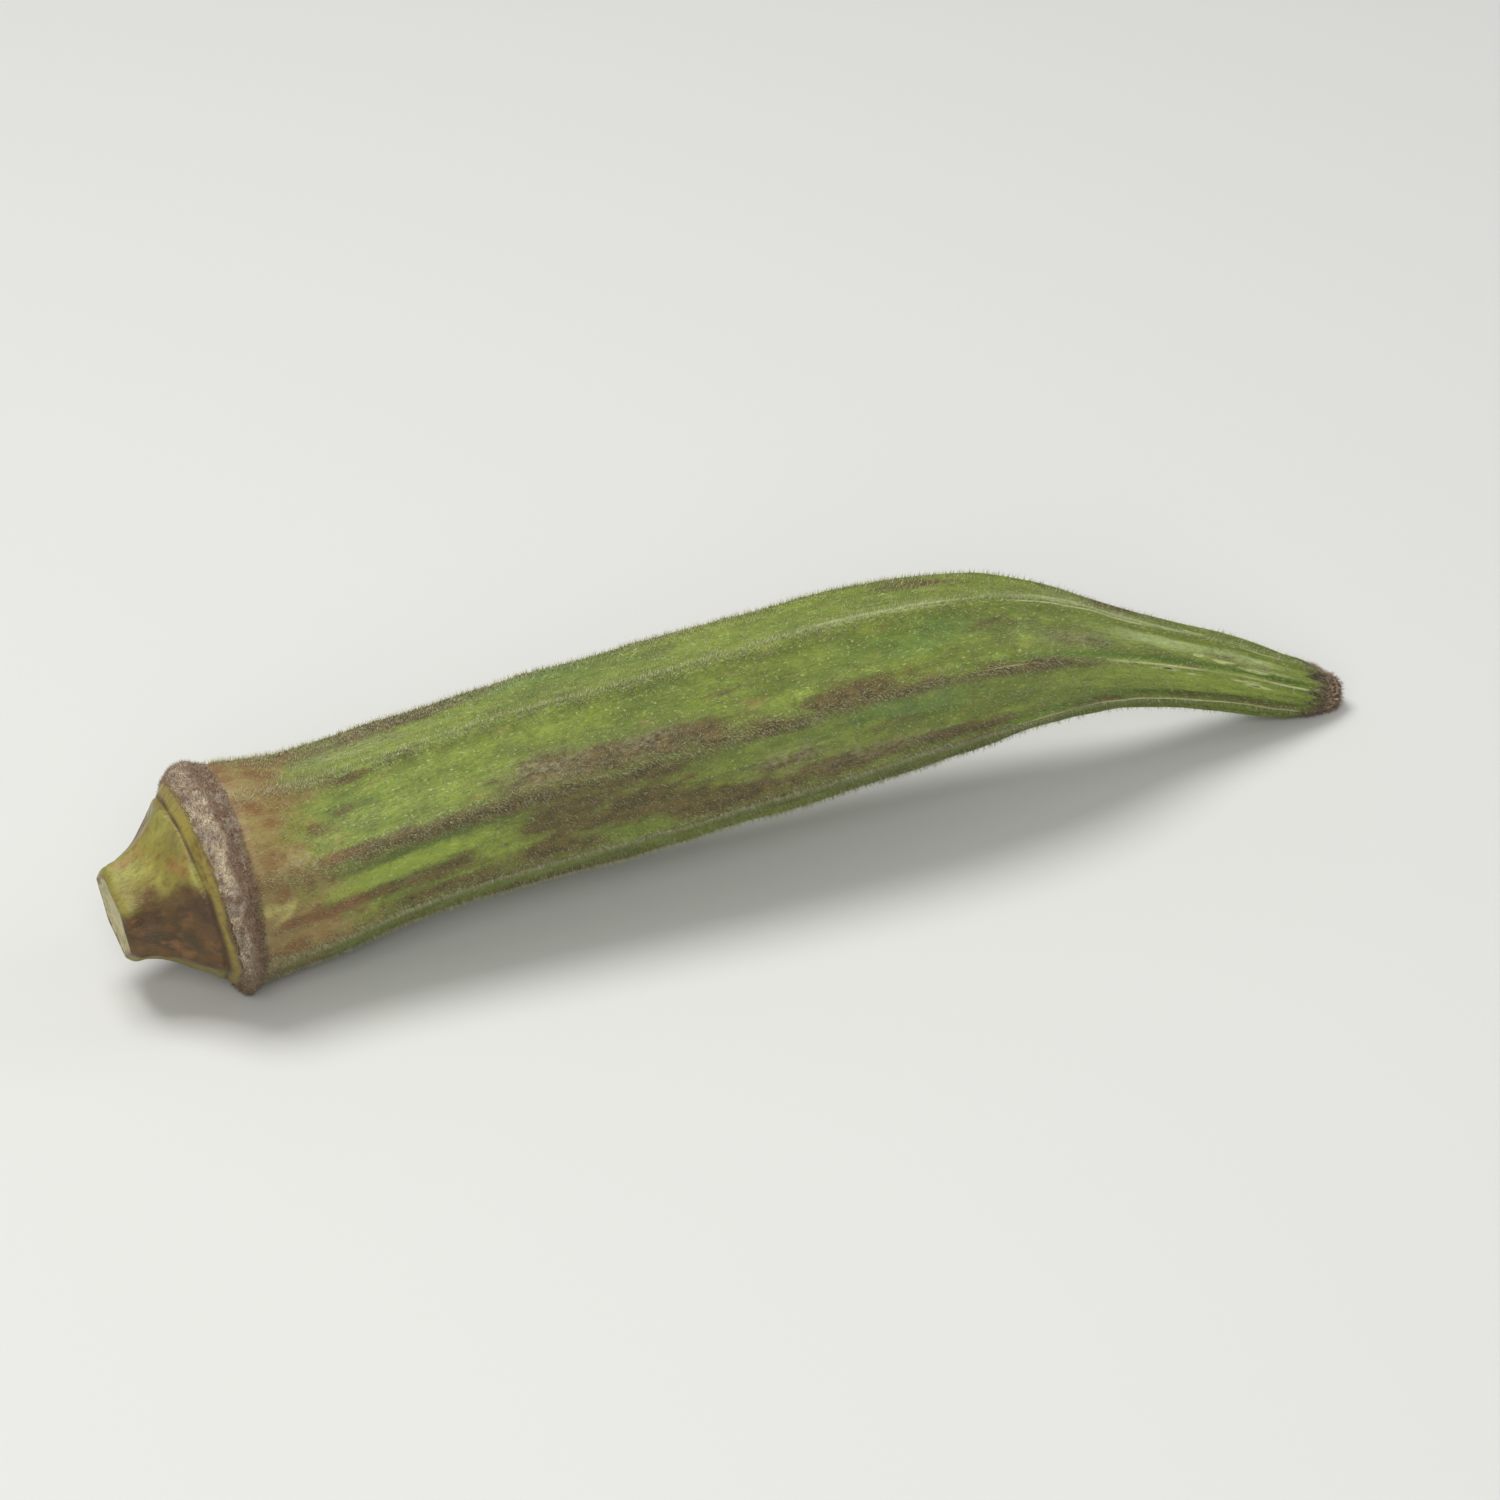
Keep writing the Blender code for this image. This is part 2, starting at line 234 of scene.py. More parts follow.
# Colours as a screen shows them, from 0 to 255.
LEAF, MOSS, DEEP, OLIVE = (122, 137, 48), (104, 119, 42), (58, 74, 26), (98, 94, 46)
YELLOW_GREEN, BLUE_GREEN, PAINTED_SHEEN_GREEN = (144, 163, 60), (104, 130, 58), (188, 202, 138)
LINE_GREEN, PALE_LINE = (86, 118, 24), (194, 202, 138)
BROWN, DARK_BROWN, LILAC = (94, 80, 40), (56, 48, 26), (160, 150, 124)
TAN, RUST, YELLOWED = (146, 120, 78), (126, 80, 50), (192, 184, 108)
WOOL, WOOL_GREY, WOOL_BROWN = (196, 182, 154), (158, 144, 128), (104, 72, 54)
CAP_GREEN, CAP_OLIVE, CAP_RUST = (150, 146, 70), (122, 112, 50), (150, 104, 62)
CAP_BROWN, CAP_DARK = (82, 50, 27), (52, 33, 19)
BAND_OLIVE, GROOVE_DARK = (140, 126, 58), (62, 42, 26)
PITH, PITH_DARK, PITH_GREEN, CUT_EDGE = (198, 188, 144), (176, 162, 114), (146, 146, 90), (108, 84, 54)
NUB_BROWN, NUB_PINK = (58, 46, 30), (208, 174, 148)
HAIR_PALE, HAIR_TAN, HAIR_BROWN = (230, 228, 194), (132, 128, 76), (88, 74, 44)
FLOOR, FLOOR_ROUGHNESS = (206, 206, 202), 0.9

# The middle of the noise of a material, and the span that most of it lies in.
NOISE_MIDDLE, NOISE_SPAN = 0.5, (0.3, 0.7)

# A ragged edge: the detail of its noise, and from which to which value it goes.
RAGGED_DETAIL, RAGGED_EDGE = 4.0, (0.2, 0.8)

# Which sockets of Blender's Mix node hold colours.
MIX_SHARE, MIX_FIRST, MIX_SECOND, MIX_RESULT = 0, 6, 7, 2

# The camera and the lights, in metres, watts and degrees.
CAMERA_AZIMUTH, CAMERA_ELEVATION, CAMERA_DISTANCE = -25.0, 30.0, 0.62
CAMERA_AIM = (0.0, 0.0, 0.0105)
CAMERA_FIELD = 0.139
SENSOR = 36.0
CLIP_START = 0.01

# Each light's name, place, size and power.
LIGHTS = (
    ("key", (-0.16, 0.16, 0.62), 0.36, 3.3), ("front", (-0.35, -0.6, 0.45), 0.5, 3.65),
    ("side", (0.6, -0.1, 0.35), 0.4, 0.6),
)
WORLD_COLOUR, WORLD_STRENGTH = (1.0, 1.0, 1.0, 1.0), 0.3
FLOOR_SIZE = 3.0

# A hair is a spike on a triangle. Its root is sunk so far, and its tip stays so far above the ground, in mm.
HAIR_ROOT, HAIR_CLEARANCE = 0.06, 0.02
CORNER_TURNS = (0.0, 2 * math.pi / 3, 4 * math.pi / 3)
SPIKE_FACES = ((2, 1, 0), (0, 1, 3), (1, 2, 3), (2, 0, 3))
SPIKE_POINTS = 4
TRIES_PER_HAIR = 4

# The hairs along the ridges, which thin out towards the tip, and those all over the skin, which clump.
RIDGE_HAIR_HALF_WIDTH, RIDGE_HAIRS_LOST, RIDGE_HAIRS_THIN = 4.5, 0.7, (58.0, 90.0)
FACET_HAIR_SHARE = 0.7


class Growth(NamedTuple):
    """How the hairs of one region grow: how many, where along the pod, and their form, in millimetres."""

    name: str
    count: int
    seed: int
    stretch: tuple
    lengths: tuple
    width: float
    lean: float
    spread: float


RIDGE_HAIRS = Growth("ridge_hairs", 38000, 61, (1.5, 112.0), (0.3, 0.7), width=0.025, lean=0.15, spread=0.25)
SKIN_HAIRS = Growth("skin_hairs", 49000, 62, (1.0, 113.0), (0.2, 0.45), width=0.021, lean=0.2, spread=0.3)
SCUFF_HAIRS = Growth("scuff_hairs", 16000, 65, (2.0, 112.0), (0.25, 0.5), width=0.026, lean=0.2, spread=0.35)
COLLAR_HAIRS = Growth("collar_hairs", 30000, 63, (-1.3, 1.5), (0.2, 0.5), width=0.024, lean=0.0, spread=0.8)
NUB_HAIRS = Growth("nub_hairs", 2600, 64, (112.3, 116.0), (0.25, 0.6), width=0.024, lean=0.4, spread=0.6)


def smooth_curve(points, at):
    """A smooth curve through the points, read at one or more places along it."""
    knots, values = np.array(points).T
    slopes = np.gradient(values, knots)
    start = np.clip(np.searchsorted(knots, at, side="right") - 1, 0, len(knots) - 2)
    width = knots[start + 1] - knots[start]
    t = (at - knots[start]) / width
    rise = values[start + 1] - values[start]
    leaving, arriving = slopes[start] * width, slopes[start + 1] * width
    bend = 3 * rise - 2 * leaving - arriving
    return values[start] + t * (leaving + t * (bend + t * (leaving + arriving - 2 * rise)))


def blend(start, end, at):
    """0 before start, 1 after end, and a smooth step between them."""
    t = np.clip((at - start) / (end - start), 0, 1)
    return t * t * (3 - 2 * t)


def bump(centre, half_width, at):
    """1 at the centre, falling smoothly to about a third at the half width."""
    return np.exp(-(((at - centre) / half_width) ** 2))


def off_corner(angle, count):
    """Degrees from the nearest of so many evenly spaced corners, the first at 0."""
    spacing = 360 / count
    return np.abs((angle + spacing / 2) % spacing - spacing / 2)


def soft_polygon(off, count, softness):
    """The radius of a polygon with softened corners, 1 at a corner, at so many degrees off it."""
    half = 180 / count
    from_corner = np.sqrt(off**2 + softness**2) - softness
    return math.cos(math.radians(half)) / np.cos(np.radians(half - from_corner))


def angle_of(along, turn):
    """The angle from straight up, at so many degrees past the first ridge. The ridges twist a little."""
    twisted = FIRST_RIDGE + TWIST * blend(TWIST_START, TWIST_END, along)
    return twisted + turn + UNEVEN_SPACING * np.sin(np.radians(2 * turn))


def pod_section(along, turn):
    """The capsule's radius as a share of its radius at a ridge."""
    off = off_corner(turn, RIDGES)
    hollow = FACET_HOLLOW * np.sin(np.radians(off * RIDGES / 2)) ** 2
    strength = COLLAR_RIDGE_SHARE + (1 - COLLAR_RIDGE_SHARE) * blend(COLLAR_END, SHOULDER_END, along)
    return 1 - strength * (1 - soft_polygon(off, RIDGES, RIDGE_SOFTNESS) + hollow)


def cap_section(angle):
    """The cap's radius as a share of its radius at one of its edges."""
    return soft_polygon(off_corner(angle - CAP_FIRST_EDGE, CAP_EDGES), CAP_EDGES, CAP_SOFTNESS)


def rib(along, turn):
    """The height of the thin rib on each ridge."""
    fades = blend(RIB_START, RIB_FULL, along) * (1 - blend(RIB_FADE, NUB_START, along))
    return RIB_HEIGHT * fades * bump(0, RIB_HALF_WIDTH, off_corner(turn, RIDGES))


def radius(along, turn):
    """The fruit's radius in millimetres."""
    on_pod = blend(CAP_END, GROOVE, along)
    share = (1 - on_pod) * cap_section(angle_of(along, turn)) + on_pod * pod_section(along, turn)
    round_share = blend(RIB_FADE, NUB_END, along)
    share = share * (1 - round_share) + round_share
    return smooth_curve(PROFILE, along) * share + rib(along, turn)


def slope(points, along):
    """How fast the curve through the points rises."""
    after, before = smooth_curve(points, along + SLOPE_STEP), smooth_curve(points, along - SLOPE_STEP)
    return (after - before) / (2 * SLOPE_STEP)


def surface(along, turn, share=1.0, relief=0.0, depth=0.0):
    """Points at a share of the skin's radius, raised by the relief and moved along the spine by the depth."""
    climb, sway = slope(SPINE_HEIGHT, along), slope(SPINE_SWAY, along)
    flat = np.sqrt(1 + sway**2)
    length = np.sqrt(flat**2 + climb**2)
    angle = np.radians(angle_of(along, turn))
    up = (radius(along, turn) * share + relief) * np.cos(angle)
    front = (radius(along, turn) * share + relief) * np.sin(angle)
    ahead = (depth - up * climb / flat) / length
    x = along + ahead - front * sway / flat
    toward_front = smooth_curve(SPINE_SWAY, along) + ahead * sway + front / flat
    z = smooth_curve(SPINE_HEIGHT, along) + (depth * climb + up * flat) / length
    return np.stack([x, -toward_front, z], axis=-1)


def flow_of(along, turn, share=1.0):
    """Places on a straight round pod, in millimetres, for patterns that follow the real one."""
    around, out = np.radians(turn), FLOW_RADIUS * share
    return np.stack([along, out * np.cos(around), out * np.sin(around)], axis=-1)


def noise(flow, lump, seed):
    """Smooth noise from about -1 to 1, with lumps of that size along the pod and around it."""
    table = np.random.default_rng(seed).uniform(-1, 1, NOISE_VALUES)
    scaled = flow / np.array([lump[0], lump[1], lump[1]])
    cell = np.floor(scaled).astype(np.int64)
    part = scaled - cell
    part = part * part * (3 - 2 * part)
    total = np.zeros(flow.shape[:-1])
    for corner in itertools.product((0, 1), repeat=3):
        at = (cell + np.array(corner)) * np.array(CELL_PRIMES)
        picked = (at[..., 0] ^ at[..., 1] ^ at[..., 2]) % NOISE_VALUES
        total += table[picked] * np.where(corner, part, 1 - part).prod(axis=-1)
    return total


def layered(flow, layers):
    """Several layers of noise on each other."""
    return sum(height * noise(flow, lumps, seed) for height, lumps, seed in layers)


def from_ridge(along, turn):
    """Millimetres round the pod from the nearest ridge, towards the ground on the front."""
    off = (turn + 180 / RIDGES) % (360 / RIDGES) - 180 / RIDGES
    return np.radians(off) * smooth_curve(PROFILE, along)


def tip_lines(along):
    """How much of the fine lines beside the ridges there is: they grow towards the tip."""
    return blend(*LINES_IN, along) * (1 - blend(*LINES_OUT, along))


def capsule_relief(along, turn, flow):
    """Lumps over the seeds, fibres, a furrow beside each rib, and creases and strands by the tip."""
    off = off_corner(turn, RIDGES)
    furrow = FURROW_DEPTH * bump(FURROW_OFF, FURROW_HALF_WIDTH, off) * blend(*FURROW_IN, along)
    furrow *= FURROW_SHARE + layered(flow, FURROW_BREAKS)
    crease = CREASE_DEPTH * tip_lines(along) * bump(CREASE_PLACE, CREASE_HALF_WIDTH, from_ridge(along, turn))
    uneven_rib = bump(0.0, RIB_HALF_WIDTH, off) * blend(*UNEVEN_RIB_IN, along) * layered(flow, UNEVEN_RIB)
    strands = sum(
        height * bump(at, half_width, off) * bump(middle, half_length, along)
        for height, at, half_width, middle, half_length in TIP_STRANDS
    )
    return layered(flow, CAPSULE_LUMPS) - furrow - crease + strands + uneven_rib


def collar_relief(flow):
    """The uneven felt of the collar, cracked round its edge."""
    crack = CRACK_DEPTH * bump(CRACK_PLACE + layered(flow, CRACK_WANDER), CRACK_HALF_WIDTH, flow[..., 0])
    return layered(flow, COLLAR_FELT) - crack


def cap_relief(along, turn, flow):
    """The nearly smooth skin of the cap, with a few dents and with crisper edges than the solid's."""
    off_edge = off_corner(angle_of(along, turn) - CAP_FIRST_EDGE, CAP_EDGES)
    crest = bump(0.0, CREST_HALF_WIDTH, off_edge) * bump(CREST_MIDDLE, CREST_HALF_LENGTH, along)
    return layered(flow, CAP_DENTS) + CREST_HEIGHT * crest


def relief_of(along, turn, flow):
    """What the fine skin adds to the solid's own shape, in millimetres."""
    on_cap = 1 - blend(*CAP_OUT, along)
    on_collar = blend(*COLLAR_IN, along) * (1 - blend(*COLLAR_OUT, along))
    on_capsule = blend(*CAPSULE_IN, along) * (1 - blend(*CAPSULE_OUT, along))
    on_nub = blend(*NUB_IN, along)
    return (
        on_collar * collar_relief(flow) + on_capsule * capsule_relief(along, turn, flow)
        + on_cap * cap_relief(along, turn, flow) + on_nub * layered(flow, NUB_TEARS)
        - patches(DENTS, along, turn) - SCAR_DEPTH * patches(SCARS, along, turn)
    )


def end_depth(along, share, flow):
    """How far the end faces go in or out along the pod: a dished, torn cut and a domed nub."""
    inside = 1 - share**2
    cut = inside * (CUT_DISH + layered(flow, CUT_TEARS))
    return np.where(along < 0, cut, NUB_DOME * inside)


def lowest(points):
    return points[points[:, 2].argmin()]


def tilted(points, tilt):
    """The points turned about Y."""
    x, z = points[..., 0], points[..., 2]
    level = x * math.cos(tilt) + z * math.sin(tilt)
    return np.stack([level, points[..., 1], z * math.cos(tilt) - x * math.sin(tilt)], axis=-1)


def resting_pose():
    """(tilt, shift) that level the pod and set it on the ground, pressed in and centred."""
    points = surface(*np.meshgrid(ring_places()[0], ring_turns(), indexing="ij")).reshape(-1, 3)
    tilt = 0.0
    for _ in range(LEVELLING_ROUNDS):
        level = tilted(points, tilt)
        near, far = lowest(level[level[:, 0] < COLLAR_HALF]), lowest(level[level[:, 0] > TIP_HALF])
        tilt += math.atan2(far[2] - near[2], far[0] - near[0])
    level = tilted(points, tilt)
    middle = (level.min(axis=0) + level.max(axis=0)) / 2
    return tilt, np.array([-middle[0], -middle[1], -level[:, 2].min() - PRESSED])


def places_on(start, end, most):
    """Evenly spaced places from the start up to the end, which the next stretch begins with."""
    return np.linspace(start, end, math.ceil((end - start) / most), endpoint=False)


def ring_places():
    """Where the fine rings are along the spine, and their share of the radius."""
    along = np.append(np.concatenate([places_on(*stretch) for stretch in STRETCHES]), NUB_END)
    at_cut, at_nub = np.full(len(CUT_FACE_SHARES), CUT_END), np.full(len(NUB_SHARES), NUB_END)
    places = np.concatenate([at_cut, along, at_nub])
    shares = np.concatenate([CUT_FACE_SHARES, np.ones(len(along)), NUB_SHARES])
    return places, shares


def ring_turns():
    """Degrees past the first ridge of the points around a ring, crowded at the ridges."""
    part = np.arange(POINTS_PER_RIDGE) / POINTS_PER_RIDGE - 0.5
    off = part - CROWDED_AT_RIDGE * np.sin(2 * math.pi * part) / (2 * math.pi)
    return ((np.arange(RIDGES)[:, None] + off) * 360 / RIDGES).ravel()


def skin_at(along, turn, share, pose):
    """Points of the fine skin in the resting pose, with none below the ground."""
    flow = flow_of(along, turn, share)
    relief = relief_of(along, turn, flow) * share
    tilt, shift = pose
    placed = tilted(surface(along, turn, share, relief, end_depth(along, share, flow)), tilt) + shift
    placed[..., 2] = np.maximum(placed[..., 2], 0.0)
    return placed


def unit(vectors):
    """The vectors at a length of 1."""
    return vectors / np.linalg.norm(vectors, axis=-1, keepdims=True)


def outward(along, turn, pose):
    """Unit vectors out of the pod's side."""
    tilt, _ = pose
    here = surface(along, turn)
    ahead = surface(along + NORMAL_STEP, turn) - here
    beside = surface(along, turn + NORMAL_TURN) - here
    out = np.cross(ahead, beside)
    out *= np.sign((out * (here - surface(along, turn, 0.0))).sum(axis=-1, keepdims=True))
    return tilted(unit(out), tilt)


def all_bruises():
    """The scuffs that the photograph shows, and more on its hidden sides, most of them on the ridges, and on
    the cap a darker lower front that is partly painted shade.
    """
    draw = np.random.default_rng(HIDDEN_SEED)
    found = list(BRUISES_AND_CAP_SHADE)
    for _ in range(HIDDEN_BRUISES):
        turn = draw.integers(*HIDDEN_RIDGES) * 360 / RIDGES + draw.normal(0, HIDDEN_OFF_RIDGE)
        along = draw.uniform(*HIDDEN_ALONG)
        sizes = draw.uniform(*HIDDEN_HALF_LENGTH), draw.uniform(*HIDDEN_HALF_WIDTH)
        found.append((along, turn, *sizes, draw.uniform(*HIDDEN_STRENGTH)))
    return found


def patches(marks, along, turn):
    """How much of the marks there is at each place, fading out from the middle of each."""
    total = np.zeros_like(along)
    for middle, at, half_length, half_width, strength in marks:
        across = (turn - at + 180) % 360 - 180
        total = np.maximum(total, strength * bump(middle, half_length, along) * bump(0.0, half_width, across))
    return total


def ridge_lines(along, turn, flow):
    """(pale, dark): the broken pale line on each rib, and the green crease beside it, towards the tip."""
    across, grown = from_ridge(along, turn), tip_lines(along)
    broken = np.clip(PALE_LINE_SHARE + layered(flow, PALE_LINE_BREAKS), 0, 1)
    pale = grown * broken * bump(0.0, PALE_LINE_HALF_WIDTH, across)
    return pale, grown * bump(DARK_LINE_PLACE, DARK_LINE_HALF_WIDTH, across)


def skin_marks(along, turn, share):
    """The values that the skin's colours read, by name."""
    flow = flow_of(along, turn, share)
    wander = layered(flow, MARK_WANDER)
    marks = {name: patches(found, along, turn) for name, found in SKIN_PATCHES.items()}
    marks.update(flow=flow, share=share, bruise=patches(all_bruises(), along, turn))
    marks["scar"] = patches(SCARS, along, turn) * (SCAR_SHARE + layered(flow, SCAR_BREAKS))
    marks["shoulder"] = 1 - blend(0.0, TAN_END, along + TAN_WANDER * wander + layered(flow, TAN_TONGUES))
    for name, (middle, half_width, wanders) in RING_MARKS.items():
        marks[name] = bump(middle, half_width, along + wanders * wander)
    for name, (start, end, wanders) in TIP_MARKS.items():
        marks[name] = blend(start, end, along + wanders * wander)
    marks["pale_line"], marks["dark_line"] = ridge_lines(along, turn, flow)
    return marks


def with_ends(grid):
    """The rings' values one after another, with the first ring's mean before them and the last's after."""
    flat = grid.reshape(-1, *grid.shape[2:])
    return np.concatenate([grid[:1].mean(axis=1), flat, grid[-1:].mean(axis=1)])


def skin_faces(rings, around):
    """A fan at the cut end, four-sided faces between the rings, and a fan at the nub."""
    i = np.arange(around)
    j = (i + 1) % around
    near = 1 + around * np.arange(rings - 1)[:, None]
    sides = np.stack([near + j, near + around + j, near + around + i, near + i], axis=-1).reshape(-1, 4)
    last = 1 + around * (rings - 1)
    cut = np.stack([np.zeros_like(i), 1 + j, 1 + i], axis=-1)
    nub = np.stack([np.full_like(i, last + around), last + i, last + j], axis=-1)
    return cut.tolist() + sides.tolist() + nub.tolist()


def mesh_piece(name, points, faces, marks):
    """A smooth piece from points in millimetres, with named values kept at its points."""
    mesh = bpy.data.meshes.new(name)
    mesh.from_pydata((points * MM).tolist(), [], faces)
    for key, values in marks.items():
        kind, field = ("FLOAT_VECTOR", "vector") if values.ndim == 2 else ("FLOAT", "value")
        mesh.attributes.new(key, kind, "POINT").data.foreach_set(field, values.astype(np.float32).ravel())
    mesh.shade_smooth()
    piece = bpy.data.objects.new(name, mesh)
    bpy.context.scene.collection.objects.link(piece)
    return piece


def skin_piece(pose):
    """The whole skin in one piece, with a material for each region."""
    places, shares = ring_places()
    along, turn = np.meshgrid(places, ring_turns(), indexing="ij")
    share = np.broadcast_to(shares[:, None], along.shape)
    marks = {name: with_ends(values) for name, values in skin_marks(along, turn, share).items()}
    faces = skin_faces(*along.shape)
    piece = mesh_piece("pod_skin", with_ends(skin_at(along, turn, share, pose)), faces, marks)
    for material in (capsule_material(), collar_material(), cap_material(), cut_face_material()):
        piece.data.materials.append(material)
    piece.data.polygons.foreach_set("material_index", face_regions(along, turn, share))
    return piece


def face_regions(along, turn, share):
    """Which of the skin's materials each face has."""
    wander = layered(flow_of(along, turn, share), REGION_WANDER)
    region = np.where(along + wander < COLLAR_WOOL_END, COLLAR, CAPSULE)
    region = np.where(along + START_WANDER * wander < COLLAR_WOOL_START, CAP, region)
    region = np.where(share + (along > 0) < 1, CUT_FACE, region)
    cut_fan, nub_fan = np.full(along.shape[1], CUT_FACE), np.full(along.shape[1], CAPSULE)
    return np.concatenate([cut_fan, region[:-1].ravel(), nub_fan]).astype(np.int32)


def linear(colour):
    """A screen colour from 0 to 255 as the linear light that Blender's sockets take."""
    scaled = [value / 255 for value in colour]
    return (*((v / 12.92 if v <= 0.04045 else ((v + 0.055) / 1.055) ** 2.4) for v in scaled), 1.0)


class Paint:
    """A material being made, with short ways to add its nodes."""

    def __init__(self, name, roughness, specular=0.5):
        self.material = bpy.data.materials.new(name)
        self.material.use_nodes = True
        self.nodes, self.links = self.material.node_tree.nodes, self.material.node_tree.links
        self.shader = self.nodes["Principled BSDF"]
        self.shader.inputs["Roughness"].default_value = roughness
        self.shader.inputs["Specular IOR Level"].default_value = specular
        self.flow = self.mark("flow", "Vector")

    def add(self, kind, **settings):
        node = self.nodes.new(kind)
        for name, value in settings.items():
            setattr(node, name, value)
        return node

    def feed(self, socket, value):
        """Link another node's output to the socket, or set a plain value."""
        if isinstance(value, bpy.types.NodeSocket):
            self.links.new(value, socket)
        else:
            socket.default_value = value

    def mark(self, name, output="Fac"):
        """A value kept at the mesh's points."""
        return self.add("ShaderNodeAttribute", attribute_name=name).outputs[output]

    def noise(self, along, around, detail=3.0):
        """Noise from 0 to 1, with lumps of so many millimetres along the pod and around it."""
        scaled = self.add("ShaderNodeVectorMath", operation="DIVIDE")
        self.feed(scaled.inputs[0], self.flow)
        self.feed(scaled.inputs[1], (along, around, around))
        texture = self.add("ShaderNodeTexNoise")
        self.feed(texture.inputs["Vector"], scaled.outputs[0])
        self.feed(texture.inputs["Scale"], 1.0)
        self.feed(texture.inputs["Detail"], detail)
        return texture.outputs["Fac"]

    def step(self, value, start, end, low=0.0, high=1.0):
        """Low before start, high after end, and a smooth step between them."""
        node = self.add("ShaderNodeMapRange", interpolation_type="SMOOTHSTEP")
        for socket, given in zip(node.inputs, (value, start, end, low, high)):
            self.feed(socket, given)
        return node.outputs[0]

    def calc(self, operation, first, second):
        node = self.add("ShaderNodeMath", operation=operation)
        self.feed(node.inputs[0], first)
        self.feed(node.inputs[1], second)
        return node.outputs[0]

    def mix(self, share, first, second):
        """So much of the second colour over the first."""
        node = self.add("ShaderNodeMix", data_type="RGBA")
        self.feed(node.inputs[MIX_SHARE], share)
        for place, colour in ((MIX_FIRST, first), (MIX_SECOND, second)):
            self.feed(node.inputs[place], linear(colour) if isinstance(colour, tuple) else colour)
        return node.outputs[MIX_RESULT]

    def ragged(self, mark, along, around, spread, most):
        """A mark with its edge broken up by noise, up to the most there may be of it."""
        off_middle = self.calc("SUBTRACT", self.noise(along, around, RAGGED_DETAIL), NOISE_MIDDLE)
        wander = self.calc("MULTIPLY", off_middle, spread)
        return self.step(self.calc("ADD", mark, wander), *RAGGED_EDGE, 0.0, most)

    def between(self, low, high, lumps, detail=3.0):
        """A value that wanders between two others, with lumps of that size along and around."""
        return self.step(self.noise(*lumps, detail), *NOISE_SPAN, low, high)

    def mottle(self, under, colour, lumps, edge, most=1.0, detail=3.0):
        """Blotches of a colour, where noise with lumps of that size rises over its edge."""
        return self.mix(self.step(self.noise(*lumps, detail), *edge, 0.0, most), under, colour)

    def daub(self, under, colour, mark, lumps, spread, most):
        """A colour where a mark is, with a ragged edge."""
        return self.mix(self.ragged(self.mark(mark), *lumps, spread, most), under, colour)

    def tint(self, under, colour, mark, edge, most):
        """A colour where a mark is, with a smooth edge."""
        return self.mix(self.step(self.mark(mark), *edge, 0.0, most), under, colour)

    def finish(self, colour, rough, height, millimetres):
        """Link the colour and the roughness, and a bump of so many millimetres."""
        self.feed(self.shader.inputs["Base Color"], colour)
        self.feed(self.shader.inputs["Roughness"], rough)
        node = self.add("ShaderNodeBump")
        self.feed(node.inputs["Height"], height)
        self.feed(node.inputs["Distance"], millimetres * MM)
        self.feed(self.shader.inputs["Normal"], node.outputs["Normal"])
        return self.material


def green_skin(paint):
    """The greens of the capsule, mottled and streaked, with painted highlight, sheen, glints and shade, and a
    deep line beside each ridge by the tip.
    """
    skin = paint.mottle(LEAF, MOSS, (11.0, 5.0), (0.38, 0.62))
    skin = paint.mottle(skin, OLIVE, (4.5, 2.6), (0.5, 0.72), 0.5, 5.0)
    skin = paint.daub(skin, BLUE_GREEN, "bluish", (4.0, 2.0), 1.2, 0.8)
    # Paler yellow green, partly painted highlight on the facets that face the light.
    skin = paint.daub(skin, YELLOW_GREEN, "pale_green_and_highlight", (4.5, 2.0), 0.9, 0.85)
    skin = paint.mottle(skin, YELLOW_GREEN, (3.2, 1.7), (0.5, 0.72), 0.5, 5.0)
    # Painted sheen: pale silvery green where the hairs catch the light.
    skin = paint.daub(skin, PAINTED_SHEEN_GREEN, "painted_sheen", (6.0, 0.8), 1.0, 0.78)
    skin = paint.mottle(skin, DEEP, (2.2, 1.3), (0.4, 0.7), 0.3, 4.0)
    skin = paint.mottle(skin, DEEP, (7.0, 0.6), (0.5, 0.7), 0.28, 5.0)
    skin = paint.mottle(skin, DEEP, (0.55, 0.35), (0.42, 0.66), 0.26)
    # More of the paler yellow green where its patches are strongest, partly painted highlight.
    skin = paint.tint(skin, YELLOW_GREEN, "pale_green_and_highlight", (0.5, 1.4), 0.4)
    # Painted glints: tiny pale specks all over, where single hairs catch the light.
    skin = paint.mottle(skin, PAINTED_SHEEN_GREEN, (0.34, 0.22), (0.6, 0.74), 0.55, 2.0)
    # Painted shade: dark green beside the ridges, where shade falls.
    skin = paint.daub(skin, DEEP, "painted_shade", (3.0, 0.8), 1.0, 0.55)
    return paint.tint(skin, LINE_GREEN, "dark_line", (0.25, 0.9), 0.85)


def with_shoulder(paint, skin):
    """The tan shoulder over the skin, felted beside the collar, with a few yellowed places."""
    shoulder = paint.mottle(TAN, RUST, (2.2, 1.3), (0.36, 0.66), 1.0, 5.0)
    skin = paint.tint(skin, shoulder, "shoulder", (0.0, 1.0), 0.6)
    skin = paint.daub(skin, shoulder, "shoulder", (3.2, 1.6), 2.4, 0.5)
    felt = paint.mottle(WOOL_BROWN, WOOL_GREY, (0.7, 0.9), (0.42, 0.6), 1.0, 4.0)
    skin = paint.daub(skin, felt, "felt", (0.8, 1.0), 1.5, 0.85)
    return paint.daub(skin, YELLOWED, "yellowed", (2.0, 1.5), 1.0, 0.8)


